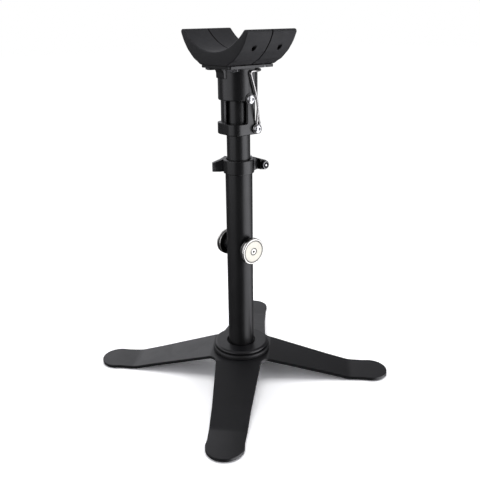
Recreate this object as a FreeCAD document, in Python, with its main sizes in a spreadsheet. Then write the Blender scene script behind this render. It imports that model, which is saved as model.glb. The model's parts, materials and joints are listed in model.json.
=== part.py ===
import FreeCAD, Part
import math
import os
import Sketcher
from FreeCAD import Vector, Placement, Rotation

# Telescopic hoof stand: a four-legged pressed base, a pillar of two tubes with a clamp and
# magnets, and a swivelling head with a cradle held by a wire bail.
# Millimetres, +Z up, origin on the floor under the pillar.  X is the axis of the magnets and of
# the clamp bolt, Y runs along the cradle trough with the front at -Y, and the legs lie on the
# diagonals.

doc = FreeCAD.newDocument("hoof_stand")
sheet = doc.addObject("Spreadsheet::Sheet", "dims")

# alias, value, note
TABLE = [
    # star base
    ("plate_thick", 4.0, "star plate thickness"),
    ("pad_thick", 1.0, "rubber foot pad thickness"),
    ("hub_top", 30.0, "top of the star plate at the hub"),
    ("hub_flat", 37.0, "half width of the flat hub"),
    ("bend_out", 139.0, "distance of the foot bend"),
    ("leg_root_half", 31.1, "leg half width projected to the axis"),
    ("leg_mid_half", 22.7, "leg half width at leg_mid"),
    ("leg_mid", 110.0, "station of the middle width"),
    ("leg_neck_half", 20.8, "narrowest half width"),
    ("toe_rad", 21.5, "radius of the round toe"),
    ("toe_centre", 166.2, "distance of the toe centre"),
    ("inner_corner", 11.0, "fillet between two legs"),
    ("foot_pad_rad", 17.0, "foot pad radius"),
    # hub stack
    ("ring_rad", 36.2, "gasket ring radius"),
    ("ring_top", 35.6, "gasket ring top"),
    ("flange_rad", 34.4, "flange radius"),
    ("flange_top", 40.6, "flange top"),
    ("flange_relief", 2.3, "relief round the tube"),
    ("base_bolt_rad", 6.0, "central bolt M12"),
    ("plug_top", 48.0, "top of the tube plug"),
    # outer tube
    ("tube_rad", 15.9, "outer tube, 31.8 diameter"),
    ("tube_bore", 14.3, "outer tube bore radius"),
    ("tube_top", 277.6, "outer tube top"),
    ("slit_wide", 2.4, "slit in the tube top"),
    ("slit_deep", 34.0, "slit length"),
    ("bush_bore", 13.66, "guide bush bore radius"),
    ("bush_low", 232.0, "guide bush foot"),
    # magnets
    ("magnet_high", 170.0, "magnet centre height"),
    ("magnet_face", 26.6, "magnet face from the axis"),
    ("magnet_rad", 16.0, "magnet radius"),
    ("magnet_thick", 7.0, "magnet cup thickness"),
    ("magnet_hole", 2.55, "magnet screw hole radius"),
    ("standoff_rad", 10.0, "magnet boss radius"),
    ("core_rad", 4.7, "outer radius of the magnet core"),
    ("core_mouth", 4.1, "countersink mouth in the core"),
    # clamp
    ("clamp_low", 262.6, "clamp ring foot"),
    ("clamp_high", 278.9, "clamp ring top"),
    ("clamp_rad", 18.0, "clamp ring outer radius"),
    ("clamp_gap", 3.0, "gap between the ears"),
    ("ear_out", 12.0, "outer face of an ear"),
    ("ear_rad", 5.9, "round end of an ear"),
    ("ear_web", 23.2, "station where the ear boss begins"),
    ("clamp_bolt_y", 28.4, "clamp bolt station"),
    ("clamp_bolt_z", 269.3, "clamp bolt height"),
    ("clamp_bolt_rad", 2.5, "clamp bolt radius"),
    ("nut_rad", 5.2, "clamp nut radius"),
    ("nut_long", 4.2, "clamp nut length"),
    ("cam_rad", 6.85, "cam radius"),
    ("cam_off", 0.9, "cam eccentricity"),
    ("cam_pin_x", 21.9, "cam pin distance"),
    ("lever_half", 5.6, "half height of the lever"),
    ("lever_thick", 4.0, "lever arm thickness"),
    ("lever_arc", 24.2, "arc of the lever arm round the pillar"),
    # inner post
    ("post_rad", 13.6, "inner post, 27.2 diameter"),
    ("post_bore", 11.8, "inner post bore radius"),
    ("post_low", 82.0, "inner post foot"),
    ("post_top", 362.0, "inner post top"),
    # head carrier
    ("carrier_bore", 14.6, "carrier bore radius"),
    ("collar_low", 308.7, "collar foot"),
    ("collar_high", 321.6, "collar top"),
    ("collar_half_x", 19.8, "collar half width"),
    ("collar_front", 20.5, "collar front face"),
    ("collar_back", 19.5, "collar back face"),
    ("collar_round", 12.0, "collar front corner radius"),
    ("body_rad", 19.5, "carrier body radius"),
    ("window_side", 0.5, "how far each window passes the middle plane"),
    ("window_back", 1.5, "inner edge of the windows"),
    ("relief_rad", 16.4, "bore relief between the two bushes"),
    ("window_top", 353.0, "top of the windows"),
    ("flat_back", 8.6, "far end of the side flats"),
    ("carrier_top", 373.0, "carrier top"),
    # socket
    ("socket_rad", 22.3, "socket outer radius"),
    ("socket_bore", 19.56, "socket bore radius"),
    ("socket_low", 347.1, "socket lower edge"),
    ("plate_low", 381.7, "head plate underside"),
    ("plate_top", 385.0, "head plate top"),
    ("plate_half_x", 26.3, "head plate half width"),
    ("plate_half_y", 31.0, "head plate half length"),
    ("rib_face", 22.5, "side rib face"),
    ("stud_z", 348.9, "catch stud height"),
    ("stud_boss", 6.5, "catch boss radius"),
    ("stud_face", 23.2, "catch boss face"),
    ("button_rad", 5.25, "button head radius"),
    ("button_high", 3.0, "button head height"),
    # bail
    ("wire_rad", 1.3, "bail wire radius"),
    ("tail_rad", 1.0, "bail return strand radius"),
    ("pivot_y", 9.8, "bail pivot station"),
    ("pivot_z", 315.1, "bail pivot height"),
    ("pivot_rad", 2.95, "bail pivot shoulder radius"),
    ("eye_x", 21.4, "bail eye plane"),
    ("bail_x", 24.9, "bail leg plane"),
    # cradle
    ("cradle_half_x", 59.0, "cradle half width"),
    ("cradle_half_y", 33.8, "cradle half length"),
    ("cradle_high", 422.0, "cradle top"),
    ("trough_rad", 75.0, "trough radius"),
    ("trough_low", 399.2, "trough lowest line"),
    ("trough_edge", 53.7, "trough upper edge station"),
    ("seam_gap", 0.5, "gap between the two pads"),
    ("wing_hole", 2.4, "wing hole radius"),
    ("screw_x", 21.5, "rear pad screw station across"),
    ("screw_y", 18.0, "rear pad screw station along"),
    ("bolt_x", 20.2, "front pad bolt station across"),
    ("bolt_y", 21.2, "front pad bolt station along"),
    ("bolt_hex", 6.35, "front pad bolt, corner radius of the head"),
    ("bolt_high", 2.8, "front pad bolt, height of the head"),
    ("pad_screw_rad", 2.5, "pad screw and bolt shank radius"),
    ("pad_screw_hole", 2.7, "pad screw and bolt hole radius"),
    ("head_recess", 5.1, "recess radius for a rear screw head"),
]
for row, (alias, value, note) in enumerate(TABLE, 1):
    sheet.set("A%d" % row, note)
    sheet.set("B%d" % row, str(value))
    sheet.setAlias("B%d" % row, alias)
doc.recompute()


class Size:
    """A length that knows its number and the sheet formula it comes from."""

    def __init__(self, number, formula=None):
        self.number = float(number)
        self.formula = formula if formula is not None else "%.6f" % self.number

    def __add__(self, other):
        o = as_size(other)
        return Size(self.number + o.number, "(%s + %s)" % (self.formula, o.formula))

    def __radd__(self, other):
        return as_size(other) + self

    def __sub__(self, other):
        o = as_size(other)
        return Size(self.number - o.number, "(%s - %s)" % (self.formula, o.formula))

    def __rsub__(self, other):
        return as_size(other) - self

    def __mul__(self, other):
        o = as_size(other)
        return Size(self.number * o.number, "(%s * %s)" % (self.formula, o.formula))

    def __rmul__(self, other):
        return as_size(other) * self

    def __neg__(self):
        return Size(-self.number, "(0 - %s)" % self.formula)


def as_size(value):
    return value if isinstance(value, Size) else Size(value)


class Dims:
    """The sheet's dimensions as Size attributes."""


dims = Dims()
for alias, value, note in TABLE:
    setattr(dims, alias, Size(value, "dims.%s" % alias))

# Heights and stations shared by several pieces
foot_top = dims.pad_thick + dims.plate_thick
plate_under = dims.hub_top - dims.plate_thick       # underside of the star plate at the hub
base_washer_low = plate_under - 2.5
magnet_back = dims.magnet_face - dims.magnet_thick
nut_inner = dims.ear_out + 0.08
nut_outer = nut_inner + dims.nut_long
lever_low = dims.clamp_bolt_z - dims.lever_half
carrier_roof = dims.post_top + 2.0                  # inner ceiling over the post
screw_seat = carrier_roof + 4.0                     # floor of the retaining screw's counterbore


# ---------------------------------------------------------------- sketches
def tie(sketch, kind, args, size):
    """Adds a dimension driven by the sheet."""
    size = as_size(size)
    index = sketch.addConstraint(Sketcher.Constraint(kind, *(list(args) + [size.number])))
    label = "c%d" % index
    sketch.renameConstraint(index, label)
    sketch.setExpression("Constraints." + label, size.formula)


def pin(sketch, geo, pos, x, y):
    """Holds a point at (x, y); a zero coordinate puts it on the axis instead."""
    for kind, coordinate, axis in (("DistanceX", x, -2), ("DistanceY", y, -1)):
        coordinate = as_size(coordinate)
        if abs(coordinate.number) < 1e-9:
            sketch.addConstraint(Sketcher.Constraint("PointOnObject", geo, pos, axis))
        else:
            tie(sketch, kind, (-1, 1, geo, pos), coordinate)


def flat_point(x, y):
    return Vector(as_size(x).number, as_size(y).number, 0)


def draw_outline(sketch, points):
    """Closed outline.  A corner is (x, y), or (x, y, (mid x, mid y, radius)) when an arc
    through the mid point leads on to the next corner."""
    sides = []
    for k, corner in enumerate(points):
        following = points[(k + 1) % len(points)]
        begin = flat_point(corner[0], corner[1])
        end = flat_point(following[0], following[1])
        if len(corner) == 3:
            mid_x, mid_y, radius = corner[2]
            geo = sketch.addGeometry(Part.Arc(begin, flat_point(mid_x, mid_y), end), False)
            # an arc's point 1 may lie at either end
            point = sketch.getPoint(geo, 1)
            first = 1 if (point - begin).Length < (point - end).Length else 2
            sides.append((geo, first, 3 - first, radius))
        else:
            geo = sketch.addGeometry(Part.LineSegment(begin, end), False)
            sides.append((geo, 1, 2, None))
    for k, (geo, first, last, radius) in enumerate(sides):
        next_geo, next_first = sides[(k + 1) % len(sides)][:2]
        sketch.addConstraint(Sketcher.Constraint("Coincident", geo, last, next_geo, next_first))
    for corner, (geo, first, last, radius) in zip(points, sides):
        pin(sketch, geo, first, corner[0], corner[1])
        if radius is not None:
            tie(sketch, "Radius", (geo,), radius)


def draw_circle(sketch, x, y, radius):
    centre = flat_point(x, y)
    number = as_size(radius).number
    geo = sketch.addGeometry(Part.Circle(centre, Vector(0, 0, 1), number), False)
    if centre.Length < 1e-9:
        sketch.addConstraint(Sketcher.Constraint("Coincident", geo, 3, -1, 1))
    else:
        pin(sketch, geo, 3, x, y)
    tie(sketch, "Radius", (geo,), radius)


def draw(body, name, plane, lift=None, outline=(), circles=()):
    """A sketch on the body's XY, XZ or YZ plane, lifted along its normal (XZ: towards -Y)."""
    sketch = body.newObject("Sketcher::SketchObject", name)
    role = plane + "_Plane"
    support = next(f for f in body.Origin.OriginFeatures if f.Role == role)
    sketch.AttachmentSupport = [(support, "")]
    sketch.MapMode = "FlatFace"
    if lift is not None:
        lift = as_size(lift)
        sketch.AttachmentOffset = Placement(Vector(0, 0, lift.number), Rotation())
        sketch.setExpression("AttachmentOffset.Base.z", lift.formula)
    if outline:
        draw_outline(sketch, outline)
    for x, y, radius in circles:
        draw_circle(sketch, x, y, radius)
    return sketch


def rectangle(x_low, y_low, x_high, y_high):
    return [(x_low, y_low), (x_high, y_low), (x_high, y_high), (x_low, y_high)]


def polar(radius, degrees):
    angle = math.radians(degrees)
    return radius * math.cos(angle), radius * math.sin(angle)


def hexagon(corner_rad):
    return [polar(corner_rad, 60 * k) for k in range(6)]


def arc_band(inner, outer, start, end):
    """A band between two arcs about the origin, from start to end degrees."""
    middle = (start + end) / 2.0
    return [
        (*polar(inner, start), (*polar(inner, middle), inner)), polar(inner, end),
        (*polar(outer, end), (*polar(outer, middle), outer)), polar(outer, start)]


# ---------------------------------------------------------------- body features
def new_body(label):
    body = doc.addObject("PartDesign::Body", label)
    body.Label = label
    return body


def set_length(feature, size, both, back):
    size = as_size(size)
    feature.Length = abs(size.number)
    feature.setExpression("Length", size.formula)
    if both:
        feature.SideType = "Symmetric"
    if back:
        feature.Reversed = True


def pad(body, sketch, size, both=False):
    feature = body.newObject("PartDesign::Pad", "Pad")
    feature.Profile = sketch
    set_length(feature, size, both, False)
    doc.recompute()
    return feature


def pocket(body, sketch, size, back=True):
    """Cuts along the sketch normal, or against it when back is False."""
    feature = body.newObject("PartDesign::Pocket", "Pocket")
    feature.Profile = sketch
    set_length(feature, size, False, back)
    doc.recompute()


def pocket_through(body, sketch):
    """Cuts right through, to both sides of the sketch."""
    feature = body.newObject("PartDesign::Pocket", "Pocket")
    feature.Profile = sketch
    feature.Type = "ThroughAll"
    feature.SideType = "Symmetric"
    doc.recompute()


def turn(body, outline, name="Outline", cut_away=False):
    """Spins an outline of (radius, height) corners about the body's Z axis."""
    sketch = draw(body, name, "XZ", outline=outline)
    kind = "PartDesign::Groove" if cut_away else "PartDesign::Revolution"
    feature = body.newObject(kind, "Turned")
    feature.Profile = sketch
    feature.ReferenceAxis = (sketch, ["V_Axis"])
    feature.Angle = 360.0
    doc.recompute()


def turned_body(label, outline, name="Outline"):
    body = new_body(label)
    turn(body, outline, name)
    return body


def round_edges(body, size, test, chamfer=False):
    """Fillets, or chamfers, the edges of the body that pass the test."""
    doc.recompute()
    tip = body.Tip
    names = ["Edge%d" % k for k, edge in enumerate(tip.Shape.Edges, 1) if test(edge)]
    if not names:
        raise RuntimeError("no edges found on " + body.Label)
    kind, prop = ("Chamfer", "Size") if chamfer else ("Fillet", "Radius")
    feature = body.newObject("PartDesign::" + kind, "Rounded")
    feature.Base = (tip, names)
    size = as_size(size)
    setattr(feature, prop, size.number)
    feature.setExpression(prop, size.formula)
    doc.recompute()


def along_z(edge):
    return edge.Curve.TypeId == "Part::GeomLine" and abs(edge.Curve.Direction.z) > 0.999


def flat_at(edge, z):
    box = edge.BoundBox
    z = as_size(z).number
    return abs(box.ZMin - z) < 0.01 and abs(box.ZMax - z) < 0.01


def circular(edge, radius):
    if edge.Curve.TypeId != "Part::GeomCircle":
        return False
    return abs(edge.Curve.Radius - as_size(radius).number) < 0.01


def from_axis(edge):
    centre = edge.BoundBox.Center
    return math.hypot(centre.x, centre.y)


# ---------------------------------------------------------------- placing and combining
def place(obj, x=None, y=None, z=None, rotation=Rotation()):
    """Places an object and binds the coordinates that are given."""
    at = [(axis, as_size(v)) for axis, v in zip("xyz", (x, y, z)) if v is not None]
    base = Vector()
    for axis, size in at:
        setattr(base, axis, size.number)
    obj.Placement = Placement(base, rotation)
    for axis, size in at:
        obj.setExpression("Placement.Base." + axis, size.formula)


def z_to(x, y, z):
    """The rotation that points +Z along the given direction."""
    return Rotation(Vector(0, 0, 1), Vector(x, y, z))


def tool_cylinder(name, radius, height, at, axis=(0, 0, 1)):
    cylinder = doc.addObject("Part::Cylinder", name)
    cylinder.setExpression("Radius", as_size(radius).formula)
    cylinder.setExpression("Height", as_size(height).formula)
    place(cylinder, *at, rotation=z_to(*axis))
    return cylinder


def cut(name, base, tool):
    result = doc.addObject("Part::Cut", name)
    result.Base = base
    result.Tool = tool
    return result


def fuse(name, shapes):
    result = doc.addObject("Part::MultiFuse", name)
    result.Shapes = shapes
    return result


def common(name, shapes):
    result = doc.addObject("Part::MultiCommon", name)
    result.Shapes = shapes
    return result


def group(name, links):
    result = doc.addObject("Part::Compound", name)
    result.Links = links
    return result


def side_pair(label, outline, z, y=0.0, socket=None):
    """Two turned pieces pointing along +X and -X; heights in the outline run outwards.
    socket is (corner radius, floor) of a hexagon socket in the outer end."""
    pair = []
    for sign, tag in ((1, "right"), (-1, "left")):
        body = turned_body(label + "_" + tag, outline)
        if socket:
            corner_rad, floor = socket
            pocket(body, draw(body, "Socket", "XY", floor, hexagon(corner_rad)), 4.0)
        place(body, y=y, z=z, rotation=z_to(sign, 0, 0))
        pair.append(body)
    return group(label + "_pair", pair)


# ---------------------------------------------------------------- star base
slope = math.atan((dims.hub_top.number - foot_top.number)
                  / (dims.bend_out.number - dims.hub_flat.number))
# the underside bends lie this much nearer the axis, which keeps the plate thickness even
bend_shift = dims.plate_thick * math.tan(slope / 2.0)
reach = dims.toe_centre + dims.toe_rad + 12.0


def crossed_mound(tag, down, shift):
    """Two crossed bars with the side view flat hub, straight slope, flat foot, intersected."""
    bend, hub = dims.bend_out - shift, dims.hub_flat - shift
    foot, top = foot_top - down, dims.hub_top - down
    upright = Rotation(Vector(1, 0, 0), 90)
    quarter = Rotation(Vector(0, 0, 1), 90)
    pair = []
    for k, rotation in enumerate((upright, quarter.multiply(upright))):
        sketch = doc.addObject("Sketcher::SketchObject", "bar_%s_%d" % (tag, k))
        sketch.Placement = Placement(Vector(), rotation)
        draw_outline(sketch, [
            (-reach, -20.0), (reach, -20.0), (reach, foot), (bend, foot),
            (hub, top), (-hub, top), (-bend, foot), (-reach, foot)])
        bar = doc.addObject("Part::Extrusion", "bar_%s_solid_%d" % (tag, k))
        bar.Base = sketch
        bar.DirMode = "Normal"
        across = reach * 2.0
        bar.LengthFwd = across.number
        bar.setExpression("LengthFwd", across.formula)
        bar.Symmetric = True
        bar.Solid = True
        pair.append(bar)
    return common("mound_" + tag, pair)


def leg_plan():
    """The plan of the four legs, as a block that trims the pressed shell."""
    blend = 45.0        # hollow arc between the neck and the toe
    toe_x, toe_rad = dims.toe_centre.number, dims.toe_rad.number
    blend_y = dims.leg_neck_half.number + blend
    blend_x = toe_x - math.sqrt((blend + toe_rad) ** 2 - blend_y ** 2)
    # where the hollow arc touches the toe circle
    share = toe_rad / (blend + toe_rad)
    touch_x = toe_x + (blend_x - toe_x) * share
    touch_y = blend_y * share
    middle = math.pi * 1.5 + 0.5 * math.atan2(toe_x - blend_x, blend_y)
    mid_x = blend_x + blend * math.cos(middle)
    mid_y = blend_y + blend * math.sin(middle)

    body = new_body("leg_plan")
    sketch = draw(body, "LegOutline", "XY", -2.0, [
        (0.0, -dims.leg_root_half), (dims.leg_mid, -dims.leg_mid_half),
        (blend_x, -dims.leg_neck_half, (mid_x, -mid_y, blend)),
        (touch_x, -touch_y, (toe_x + toe_rad, 0.0, dims.toe_rad)),
        (touch_x, touch_y, (mid_x, mid_y, blend)), (blend_x, dims.leg_neck_half),
        (dims.leg_mid, dims.leg_mid_half), (0.0, dims.leg_root_half)])
    leg = pad(body, sketch, 44.0)
    pattern = body.newObject("PartDesign::PolarPattern", "FourLegs")
    pattern.Originals = [leg]
    pattern.Axis = (sketch, ["N_Axis"])
    pattern.Angle = 360
    pattern.Occurrences = 4
    body.Tip = pattern
    round_edges(body, dims.inner_corner, lambda e: along_z(e) and 30 < from_axis(e) < 50)
    return body


def on_bend(edge, z, distance):
    if edge.Curve.TypeId != "Part::GeomLine" or not flat_at(edge, z):
        return False
    centre = edge.BoundBox.Center
    out = max(abs(centre.x), abs(centre.y))
    return abs(out - distance.number) < 1.0 and edge.Length > 30.0


def star_base():
    upper = crossed_mound("upper", Size(0.0), Size(0.0))
    lower = crossed_mound("lower", dims.plate_thick, bend_shift)
    shell = cut("pressed_shell", upper, lower)
    star = common("star_raw", [shell, leg_plan()])
    hole = tool_cylinder("hub_hole", dims.base_bolt_rad + 0.25, 30.0, (0, 0, 15.0))
    star = cut("star_cut", star, hole)
    doc.recompute()
    # height, distance from the axis, bend radius
    bends = (
        (foot_top, dims.bend_out, 36.0),
        (dims.pad_thick, dims.bend_out - bend_shift, 40.0),
        (dims.hub_top, dims.hub_flat, 10.0),
        (plate_under, dims.hub_flat - bend_shift, 6.0))
    soft = doc.addObject("Part::Fillet", "star_soft")
    soft.Base = star
    soft.Edges = [
        (k, radius, radius) for k, edge in enumerate(star.Shape.Edges, 1)
        for z, distance, radius in bends if on_bend(edge, z, distance)]
    doc.recompute()
    soft.Placement = Placement(Vector(), Rotation(Vector(0, 0, 1), 45))
    return soft


def foot_pads():
    rad = dims.foot_pad_rad
    pads = []
    for k in range(4):
        body = turned_body("foot_pad_%d" % k, [
            (0, 0), (rad - 0.5, 0), (rad, 0.5), (rad, dims.pad_thick), (0, dims.pad_thick)],
            "PadOutline")
        x, y = polar(dims.toe_centre - 1.0, 45 + 90 * k)
        place(body, x, y)
        pads.append(body)
    return group("foot_pad_set", pads)


# ---------------------------------------------------------------- hub stack
def hub_ring():
    bore, rad, top = dims.tube_rad + 0.6, dims.ring_rad, dims.ring_top
    return turned_body("hub_ring", [
        (bore, dims.hub_top), (rad, dims.hub_top), (rad, top - 1.2), (rad - 1.2, top),
        (bore, top)])


def post_flange():
    low, top, rad = dims.ring_top, dims.flange_top, dims.flange_rad
    relief = dims.tube_rad + dims.flange_relief
    return turned_body("post_flange", [
        (dims.tube_rad, low), (rad - 1.2, low), (rad, low + 1.2), (rad, top - 1.6),
        (rad - 2.4, top), (relief, top), (relief - 0.6, top - 2.4),
        (dims.tube_rad, top - 2.8)])


def tube_plug():
    hole, rad, top = dims.base_bolt_rad, dims.tube_bore, dims.plug_top
    return turned_body("tube_plug", [
        (hole, dims.hub_top), (rad, dims.hub_top), (rad, top - 1.5), (rad - 1.5, top),
        (hole, top)])


def base_washer():
    hole, rad = dims.base_bolt_rad + 0.3, 12.0
    return turned_body("base_washer", [
        (hole, base_washer_low), (rad - 0.5, base_washer_low), (rad, base_washer_low + 0.5),
        (rad, plate_under), (hole, plate_under)])


def base_bolt():
    across_flats, head_high, shank_long = 18.0, 7.5, 22.0
    head_low = base_washer_low - head_high
    shank_top = base_washer_low + shank_long
    body = new_body("base_bolt")
    pad(body, draw(body, "HeadHex", "XY", head_low, hexagon(across_flats / math.sqrt(3.0))),
        head_high)
    shank = draw(body, "Shank", "XY", base_washer_low, circles=[(0, 0, dims.base_bolt_rad)])
    pad(body, shank, shank_long)
    round_edges(body, 0.9, lambda e: circular(e, dims.base_bolt_rad) and flat_at(e, shank_top),
                chamfer=True)
    turn(body, [(9.2, head_low), (12.0, head_low), (12.0, head_low + 1.6)],
         "HeadTaper", cut_away=True)
    return body


# ---------------------------------------------------------------- outer tube
def cut_slit(body, name, low, deep):
    """A slit through the wall on the +Y side."""
    half = dims.slit_wide * 0.5
    pocket(body, draw(body, name, "XY", low, rectangle(-half, 5.0, half, 20.0)), deep)


def outer_tube():
    bore, rad, top = dims.tube_bore, dims.tube_rad, dims.tube_top
    body = turned_body("outer_tube", [
        (bore, dims.hub_top), (rad, dims.hub_top), (rad, top - 0.4), (rad - 0.4, top),
        (bore + 0.4, top), (bore, top - 0.4)])
    cut_slit(body, "Slit", top - dims.slit_deep, dims.slit_deep + 1.0)
    pocket_through(body, draw(body, "MagnetHoles", "YZ", circles=[
        (0, dims.magnet_high, dims.magnet_hole)]))
    return body


def guide_bush():
    bore, rad = dims.bush_bore, dims.tube_bore - 0.02
    low, top = dims.bush_low, dims.tube_top - 0.6
    body = turned_body("guide_bush", [
        (bore + 0.5, low), (rad, low), (rad, top), (bore + 0.3, top), (bore, top - 0.6),
        (bore, low + 0.8)])
    cut_slit(body, "BushSlit", low - 1.0, 60.0)
    return body


# ---------------------------------------------------------------- magnets, one each side
def magnet_standoffs():
    """Saddle bosses between the tube and the magnets."""
    root = 10.0     # start of each blank, inside the tube
    high = dims.magnet_high
    blanks = [
        tool_cylinder("boss_" + tag, dims.standoff_rad, magnet_back - root,
                      (sign * root, 0, high), (sign, 0, 0))
        for sign, tag in ((1, "right"), (-1, "left"))]
    saddle = tool_cylinder("saddle", dims.tube_rad + 0.02, 40.0, (0, 0, high - 20.0))
    drill = tool_cylinder("boss_drill", dims.magnet_hole, 80.0, (-40.0, 0, high), (1, 0, 0))
    bores = fuse("boss_bores", [saddle, drill])
    return cut("boss_pair", fuse("boss_blanks", blanks), bores)


def magnet_cups():
    face, back, rad, hole = dims.magnet_face, magnet_back, dims.magnet_rad, 2.7
    floor = back + 2.2
    return side_pair("cup", [
        (hole, back), (rad - 0.8, back), (rad, back + 0.8), (rad, face - 0.9),
        (rad - 0.9, face), (rad - 2.0, face), (rad - 2.0, floor), (dims.core_rad, floor),
        (dims.core_rad, face), (dims.core_mouth, face), (hole, face - 1.4)],
        dims.magnet_high)


def magnet_rings():
    inner, outer = dims.core_rad + 0.12, dims.magnet_rad - 2.3
    back, face = magnet_back + 2.25, dims.magnet_face
    return side_pair("ferrite", [
        (inner, back), (outer, back), (outer, face - 0.5), (outer - 0.3, face - 0.2),
        (inner + 0.1, face - 0.2), (inner, face - 0.3)], dims.magnet_high)


def magnet_screws():
    face = dims.magnet_face
    return side_pair("magnet_screw", [
        (0, 14.9), (2.2, 14.9), (2.5, 15.3), (2.5, face - 1.45), (3.5, face - 0.4),
        (3.3, face - 0.15), (0, face - 0.15)],
        dims.magnet_high, socket=(1.3, face - 2.0))


# ---------------------------------------------------------------- quick-release clamp
def clamp_ring():
    low, high, rad = dims.clamp_low, dims.clamp_high, dims.clamp_rad
    bore, lip, step = dims.tube_rad + 0.02, dims.post_rad + 1.3, dims.tube_top + 0.3
    under = low - 1.0   # level below the ring from which the cuts start
    body = turned_body("clamp_ring", [
        (bore, low), (rad - 0.6, low), (rad, low + 0.6), (rad, high - 0.8),
        (rad - 0.8, high), (lip, high), (lip, step), (bore, step)], "Band")

    bolt_y, bolt_z, ear = dims.clamp_bolt_y, dims.clamp_bolt_z, dims.ear_rad
    root = dims.tube_rad + 0.9
    pad(body, draw(body, "Ears", "YZ", outline=[
        (root, low + 0.3, (21.6, low + 1.5, 14.0)),
        (bolt_y - 1.6, bolt_z - ear + 0.22, (bolt_y + ear * 0.98, bolt_z + ear * 0.2, ear)),
        (bolt_y + 0.4, bolt_z + ear), (root + 3.0, high - 0.3), (root, high - 0.3)]),
        dims.ear_out * 2.0, both=True)

    half = dims.clamp_gap * 0.5
    pocket(body, draw(body, "Gap", "XY", under, rectangle(-half, 10.0, half, 40.0)), 20.0)

    # each ear is thinned between the band and its boss, down to a web
    recess = rad + 0.02
    inner, outer = 7.5, 13.0
    inner_y = math.sqrt(recess.number ** 2 - inner ** 2)
    outer_y = math.sqrt(recess.number ** 2 - outer ** 2)
    mid_x, mid_y = polar(recess, 55.0)
    for sign in (1, -1):
        pocket(body, draw(body, "WebRecess", "XY", under, [
            (sign * inner, inner_y), (sign * inner, dims.ear_web),
            (sign * outer, dims.ear_web),
            (sign * outer, outer_y, (sign * mid_x, mid_y, recess))]), 20.0)

    pocket_through(body, draw(body, "BoltHole", "YZ", circles=[
        (bolt_y, bolt_z, dims.clamp_bolt_rad + 0.1)]))
    pocket(body, draw(body, "Bore", "XY", under, circles=[(0, 0, bore)]), step - under)
    return body


def on_clamp_bolt(body, rotation):
    place(body, y=dims.clamp_bolt_y, z=dims.clamp_bolt_z, rotation=rotation)
    return body


def clamp_nut():
    hole, rad = dims.clamp_bolt_rad + 0.05, dims.nut_rad
    body = turned_body("clamp_nut", [
        (hole, nut_inner), (rad, nut_inner), (rad, nut_outer - 1.3),
        (rad - 0.5, nut_outer - 0.5), (rad - 1.5, nut_outer), (hole, nut_outer)])
    return on_clamp_bolt(body, z_to(1, 0, 0))


def clamp_washer():
    hole, rad = dims.clamp_bolt_rad + 0.1, 5.6
    inner, outer = dims.ear_out + 0.02, dims.ear_out + 2.02
    body = turned_body("clamp_washer", [
        (hole, -outer), (rad - 0.6, -outer), (rad, -outer + 0.6), (rad, -inner),
        (hole, -inner)])
    return on_clamp_bolt(body, z_to(1, 0, 0))


def clamp_bolt():
    rad, eye = dims.clamp_bolt_rad, -dims.cam_pin_x
    body = turned_body("clamp_bolt", [
        (0, eye), (rad, eye), (rad, nut_outer - 0.6), (rad - 0.6, nut_outer),
        (0, nut_outer)], "Shank")
    pad(body, draw(body, "Eye", "XZ", circles=[(0, eye, 3.9)]), rad * 2.0 - 0.2, both=True)
    pocket_through(body, draw(body, "PinHole", "XZ", circles=[(0, eye, 1.52)]))
    return on_clamp_bolt(body, z_to(1, 0, 0).multiply(Rotation(Vector(0, 0, 1), 90)))


def clamp_cam_pin():
    rad = 1.5
    body = new_body("clamp_cam_pin")
    pad(body, draw(body, "Pin", "XY", lever_low, circles=[
        (-dims.cam_pin_x, dims.clamp_bolt_y, rad)]), dims.lever_half * 2.0)
    round_edges(body, 0.3, lambda e: circular(e, rad), chamfer=True)
    return body


def clamp_lever():
    """Round cam head, an arm curling round the pillar, and a fork slot open towards +Y."""
    pin_x, pin_y = -dims.cam_pin_x, dims.clamp_bolt_y
    tall, half_thick = dims.lever_half * 2.0, dims.lever_thick * 0.5
    body = new_body("clamp_lever")
    pad(body, draw(body, "CamHead", "XY", lever_low, circles=[
        (pin_x + dims.cam_off, pin_y, dims.cam_rad)]), tall)
    arm = arc_band(dims.lever_arc - half_thick, dims.lever_arc + half_thick, 136.0, 196.0)
    neck = [(pin_x - 3.6, pin_y - 2.0), (pin_x + 4.6, pin_y - 3.0)]
    pad(body, draw(body, "Arm", "XY", lever_low, arm + neck), tall)
    slot_low = pin_y - 4.15
    pocket(body, draw(body, "ForkSlot", "XY", dims.clamp_bolt_z - dims.clamp_bolt_rad - 0.15,
                      rectangle(pin_x - 16.0, slot_low, pin_x + 16.0, slot_low + 22.0)),
           dims.clamp_bolt_rad * 2.0 + 0.3)
    pocket(body, draw(body, "PinBore", "XY", lever_low - 1.0, circles=[
        (pin_x, pin_y, 1.54)]), 40.0)
    return body


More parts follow.
